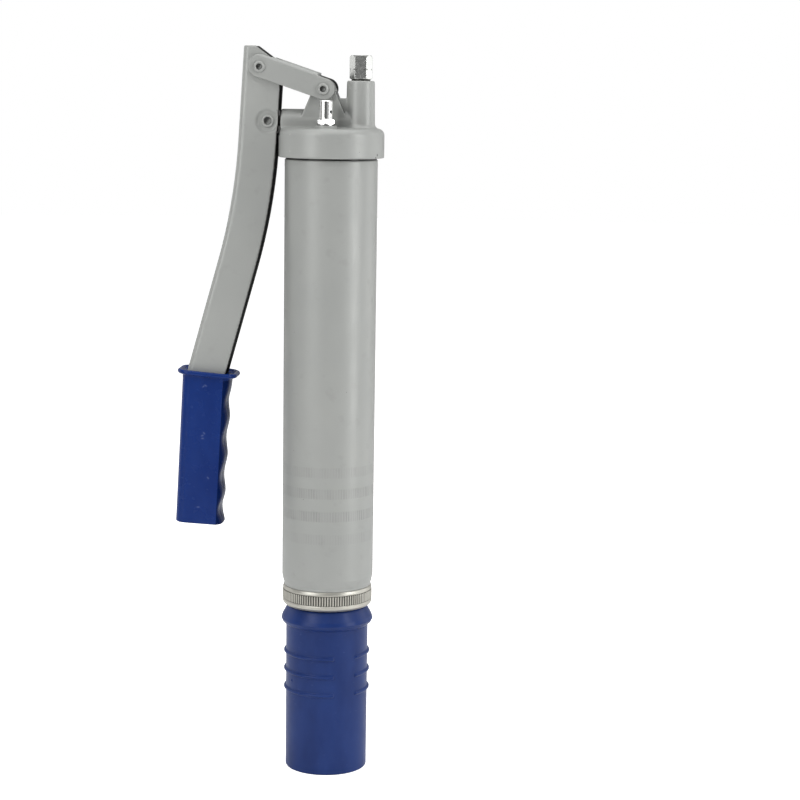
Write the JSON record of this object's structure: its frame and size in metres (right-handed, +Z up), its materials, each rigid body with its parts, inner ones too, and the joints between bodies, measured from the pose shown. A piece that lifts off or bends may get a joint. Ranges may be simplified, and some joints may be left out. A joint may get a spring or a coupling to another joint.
{
  "type": "grease gun",
  "caption": "Hand-lever grease gun: grey barrel and cast head, linked pressed-steel lever with blue grip, hex outlet, and a blue hand air pump at the foot that feeds the follower piston.",
  "frame": {"origin": "on the barrel axis, at the centre of the flat foot of the blue pump handle", "axes": "+Z up the barrel towards the outlet; the hand lever is on the -X side; +Y along the lever's pins"},
  "size_m": [0.1368, 0.0692, 0.4835],
  "materials": {
    "grey_paint": "semi-gloss silver-grey enamel",
    "bright_zinc": "bright zinc plate",
    "dark_steel": "plain",
    "polished_steel": "ground and polished",
    "oiled_steel": "ground, with a film of grease",
    "spring_steel": "drawn wire",
    "brass": "turned",
    "black_rubber": "matte",
    "white_plastic": "moulded",
    "plain_aluminium": "turned",
    "black_plastic": "moulded",
    "blue_plastic": "satin moulded",
    "grip_plastic": "satin moulded"
  },
  "bodies": {
    "gun": {"head_casting": "grey_paint", "barrel_tube": "grey_paint", "barrel_gasket": "black_rubber", "cartridge_tube": "white_plastic", "outlet_fitting": "bright_zinc", "outlet_washer": "dark_steel", "outlet_spring": "spring_steel", "filler_washer": "grey_paint", "filler_nipple": "bright_zinc", "filler_spring": "spring_steel", "vent_valve_body": "bright_zinc", "vent_spring": "spring_steel", "plunger_bush": "brass", "plunger_seal": "black_rubber", "knurled_ring": "bright_zinc", "base_plug": "plain_aluminium", "base_seal": "black_rubber", "air_valve": "black_rubber", "pump_cylinder": "plain_aluminium", "pump_gland": "plain_aluminium"},
    "link": {"link": "grey_paint", "head_pin": "grey_paint", "link_pin": "grey_paint"},
    "lever": {"lever": "grey_paint", "lever_grip": "grip_plastic", "plunger_pin": "grey_paint"},
    "plunger": {"plunger": "oiled_steel"},
    "follower": {"follower_piston": "white_plastic", "follower_seal": "black_rubber"},
    "pump_handle": {"pump_sleeve": "blue_plastic", "rod_insert": "brass", "rod_locknut": "bright_zinc", "pump_rod": "polished_steel", "pump_piston": "black_plastic", "pump_seal": "black_rubber"},
    "outlet_ball": {"outlet_ball": "polished_steel"},
    "filler_ball": {"filler_ball": "polished_steel"},
    "vent_pin": {"vent_pin": "polished_steel"}
  },
  "joints": [
    {"name": "link_swing", "type": "hinge", "parent": "gun", "child": "link", "pos_m": [-0.00462, 0, 0.45612], "axis": [0, 1, 0], "range_deg": [-5.22, 0]},
    {"name": "lever_swing", "type": "hinge", "parent": "link", "child": "lever", "pos_m": [-0.0463, 0, 0.46992], "axis": [0, 1, 0], "range_deg": [0, 47]},
    {"name": "plunger_slide", "type": "slide", "parent": "gun", "child": "plunger", "axis": [-1, 0, 0], "range_m": [0, 0.0262]},
    {"name": "follower_slide", "type": "slide", "parent": "gun", "child": "follower", "axis": [0, 0, 1], "range_m": [0, 0.225]},
    {"name": "pump_slide", "type": "slide", "parent": "gun", "child": "pump_handle", "axis": [0, 0, -1], "range_m": [0, 0.066]},
    {"name": "outlet_ball_lift", "type": "slide", "parent": "gun", "child": "outlet_ball", "axis": [0, 0, 1], "range_m": [0, 0.0015], "stiffness_N_per_m": 300, "springref_m": -0.002, "deforming": ["outlet_spring"]},
    {"name": "filler_ball_press", "type": "slide", "parent": "gun", "child": "filler_ball", "axis": [0, 0, -1], "range_m": [0, 0.0015], "stiffness_N_per_m": 400, "springref_m": -0.002, "deforming": ["filler_spring"]},
    {"name": "vent_pin_press", "type": "slide", "parent": "gun", "child": "vent_pin", "axis": [0, 0, -1], "range_m": [0, 0.0015], "stiffness_N_per_m": 500, "springref_m": -0.002, "deforming": ["vent_spring"]}
  ],
  "couplings": [
    {"joint": "link_swing", "follows": "lever_swing", "ratio": -0.11},
    {"joint": "plunger_slide", "follows": "lever_swing", "m_per_rad": 0.031685}
  ]
}
